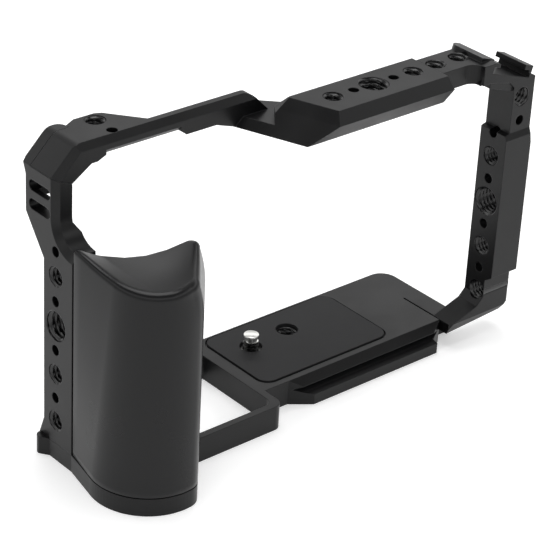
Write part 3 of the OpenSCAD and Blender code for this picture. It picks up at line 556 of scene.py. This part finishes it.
class CAGE_OT_camera_screw(bpy.types.Operator):
    """Turns the camera screw with its knurled head, neck and thread"""
    bl_idname = "cage.camera_screw"
    bl_label = "Camera screw"

    def execute(self, context):
        centre = screw_centre()
        low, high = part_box("camera_screw")
        foot, top = low[2] / MM, high[2] / MM
        # Radii of the head's rim, of the neck in the base, of the thread, and of stem and disc above it
        rim, neck, thread, stem, disc = 6.5, 2.5, 2.6, 1.95, 2.4
        head = foot + 2.2
        neck_low, neck_high = 5.0, 7.5
        disc_low = top - 0.9
        profile = [(POLE, foot), (3.2, foot), (rim - 0.3, foot), (rim, foot + 0.3), (rim, foot + 0.8),
                   (rim, foot + 1.4), (rim, head - 0.3), (rim - 0.3, head), (neck, head), (neck, neck_low),
                   (neck, neck_high)]
        profile += [(thread, z) for z in np.arange(neck_high, disc_low - 1.5, 0.16)]
        profile += [(stem, disc_low - 1.3), (stem, disc_low - 0.1), (disc - 0.1, disc_low), (disc, disc_low + 0.1),
                    (disc, top - 0.16), (disc - 0.04, top - 0.05), (disc - 0.14, top), (POLE, top)]
        points, faces = turned_body(profile, centre, threads=(neck_high + 0.2, disc_low - 0.3, 1.27),
                                    knurls=(foot + 0.5, head - 0.5, 20))
        # Painted shade: the thread from the neck up to below the stem gets a dark colour, standing in for the shadow
        # that it lies in.
        material = turned_steel(centre, "Stainless steel, bright face over a dark thread", "#E8E8E4", "#242423",
                                neck_low * MM, (disc_low - 1.4) * MM)
        piece = make_piece("screw_turned", points, faces, material, "screw", "steel")
        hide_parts("camera_screw")
        return {"FINISHED"}


class CAGE_OT_small_screws(bpy.types.Operator):
    """Turns the socket screws that hold strip, arm and grip"""
    bl_idname = "cage.small_screws"
    bl_label = "Socket screws"

    def execute(self, context):
        # Each group: its axis out of the head, then radius and height of head, radius of shank, hexagon and pitch
        groups = {
            "arm_top_screws": ((0, 1, 0), 2.2, 1.5, 1.25, 0.75, 0.45),
            "arm_foot_screws": ((0, 0, -1), 2.75, 2.0, 1.5, 1.0, 0.5),
            "grip_screws": ((0, 0, -1), 2.75, 2.0, 1.5, 1.0, 0.5),
        }
        for node, (axis, head, height, shank, hexagon, pitch) in groups.items():
            low, high = (np.array(corner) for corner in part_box(node))
            along = int(np.argmax(np.abs(axis)))
            length = (high - low)[along] / MM
            screws = []
            # The two screws stand in opposite corners of their box
            for corner, inward in ((low, head), (high, -head)):
                seat = corner + inward * MM
                seat[along] = high[along] if axis[along] > 0 else low[along]
                screws.append(socket_screw(seat, axis, head, height, shank, length, hexagon, pitch))
            piece = make_piece("turned_" + node, *joined(screws), frame["nodes"][node].data.materials[0], "frame",
                               "black_steel")
            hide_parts(node)
        return {"FINISHED"}


class CAGE_OT_stage(bpy.types.Operator):
    """Sets the floor, the soft box, the world and the camera"""
    bl_idname = "cage.stage"
    bl_label = "Studio"

    def execute(self, context):
        studio = context.scene.cage_studio
        scene = context.scene
        # Floor: plain pale paper that is white to the camera and keeps the shadow
        size = 6.0
        mesh = bpy.data.meshes.new("floor")
        mesh.from_pydata([(-size, -size, 0), (size, -size, 0), (size, size, 0), (-size, size, 0)], [], [(0, 1, 2, 3)])
        floor = bpy.data.objects.new("floor", mesh)
        scene.collection.objects.link(floor)
        material, tree, output = empty_material("Studio paper")
        path = add_node(tree, "ShaderNodeLightPath")
        seen = add_node(tree, "ShaderNodeMath", {0: path.outputs["Is Camera Ray"], 1: path.outputs["Is Glossy Ray"]},
                        operation="MAXIMUM")
        seen = add_node(tree, "ShaderNodeMath", {0: seen.outputs[0], 1: path.outputs["Is Transmission Ray"]},
                        operation="MAXIMUM")
        lift = add_node(tree, "ShaderNodeMath", {0: seen.outputs[0], 1: 0.36}, operation="MULTIPLY")
        paper = add_node(tree, "ShaderNodeBsdfDiffuse", {"Color": linear(studio.floor_colour)})
        glow = add_node(tree, "ShaderNodeEmission", {"Strength": lift.outputs[0]})
        both = add_node(tree, "ShaderNodeAddShader", {0: paper.outputs[0], 1: glow.outputs[0]})
        tree.links.new(both.outputs[0], output.inputs[0])
        mesh.materials.append(material)
        # World: dim walls, a bright soft band about 30 degrees up, and a dark ceiling
        world = bpy.data.worlds.new("studio")
        scene.world = world
        world.use_nodes = True
        tree = world.node_tree
        tree.nodes.clear()
        direction = add_node(tree, "ShaderNodeTexCoord").outputs["Generated"]
        height = add_node(tree, "ShaderNodeSeparateXYZ", {0: direction})
        fall = add_node(tree, "ShaderNodeMapRange", {
            "Value": height.outputs["Z"], "From Min": 0.52, "From Max": 0.76, "To Min": 2.0, "To Max": 0.04},
            interpolation_type="SMOOTHSTEP")
        walls = add_node(tree, "ShaderNodeMapRange", {
            "Value": height.outputs["Z"], "From Min": 0.34, "From Max": 0.48, "To Min": 0.28, "To Max": 1.0})
        light = add_node(tree, "ShaderNodeMath", {0: fall.outputs["Result"], 1: walls.outputs["Result"]},
                         operation="MULTIPLY")
        sky = add_node(tree, "ShaderNodeBackground", {"Color": (1, 1, 1, 1), "Strength": light.outputs[0]})
        out = add_node(tree, "ShaderNodeOutputWorld")
        tree.links.new(sky.outputs[0], out.inputs[0])
        # Lamp: one wide soft box overhead
        lamp = bpy.data.lights.new("soft_box", "AREA")
        lamp.shape = "RECTANGLE"
        lamp.size, lamp.size_y = 0.9, 0.9
        lamp.energy = 10
        box = bpy.data.objects.new("soft_box", lamp)
        scene.collection.objects.link(box)
        box.location = (0.1, 0.15, 1.3)
        # Camera, as the photograph was taken
        az, el, roll = studio.azimuth, studio.elevation, studio.roll
        back = np.array([math.sin(az) * math.cos(el), -math.cos(az) * math.cos(el), math.sin(el)])
        right = np.cross([0, 0, 1], back)
        right = right / np.linalg.norm(right)
        up = np.cross(back, right)
        turned_right = math.cos(roll) * right + math.sin(roll) * up
        turned_up = -math.sin(roll) * right + math.cos(roll) * up
        data = bpy.data.cameras.new("camera")
        data.lens = studio.lens
        data.sensor_width = 36
        data.sensor_fit = "HORIZONTAL"
        data.clip_start, data.clip_end = 0.01, 50
        camera = bpy.data.objects.new("camera", data)
        scene.collection.objects.link(camera)
        matrix = Matrix.Identity(4)
        for i in range(3):
            matrix[i][0], matrix[i][1], matrix[i][2] = turned_right[i], turned_up[i], back[i]
            matrix[i][3] = studio.place[i]
        camera.matrix_world = matrix
        scene.camera = camera
        scene.view_settings.view_transform = "Standard"
        return {"FINISHED"}


class CAGE_PT_panel(bpy.types.Panel):
    bl_idname = "CAGE_PT_panel"
    bl_label = "Camera cage"
    bl_space_type = "VIEW_3D"
    bl_region_type = "UI"
    bl_category = "Cage"

    def draw(self, context):
        for operator in OPERATORS:
            self.layout.operator(operator.bl_idname)
        for group in (context.scene.cage_finish, context.scene.cage_studio):
            for name in group.bl_rna.properties.keys():
                if name not in ("rna_type", "name"):
                    self.layout.prop(group, name)


OPERATORS = (CAGE_OT_finishes, CAGE_OT_threads, CAGE_OT_grip, CAGE_OT_camera_screw, CAGE_OT_small_screws,
             CAGE_OT_stage)
CLASSES = (CageFinish, CageStudio) + OPERATORS + (CAGE_PT_panel,)


def register():
    """Registers the classes and hangs the two property groups on the scene."""
    for cls in CLASSES:
        bpy.utils.register_class(cls)
    bpy.types.Scene.cage_finish = bpy.props.PointerProperty(type=CageFinish)
    bpy.types.Scene.cage_studio = bpy.props.PointerProperty(type=CageStudio)


def unregister():
    """Takes the property groups and the classes away again."""
    del bpy.types.Scene.cage_studio
    del bpy.types.Scene.cage_finish
    for cls in reversed(CLASSES):
        bpy.utils.unregister_class(cls)


def main():
    """Makes every piece and the stage in order."""
    register()
    bpy.ops.cage.stage()
    bpy.ops.cage.finishes()
    bpy.ops.cage.threads()
    bpy.ops.cage.grip()
    bpy.ops.cage.camera_screw()
    bpy.ops.cage.small_screws()


if __name__ == "__main__":
    main()
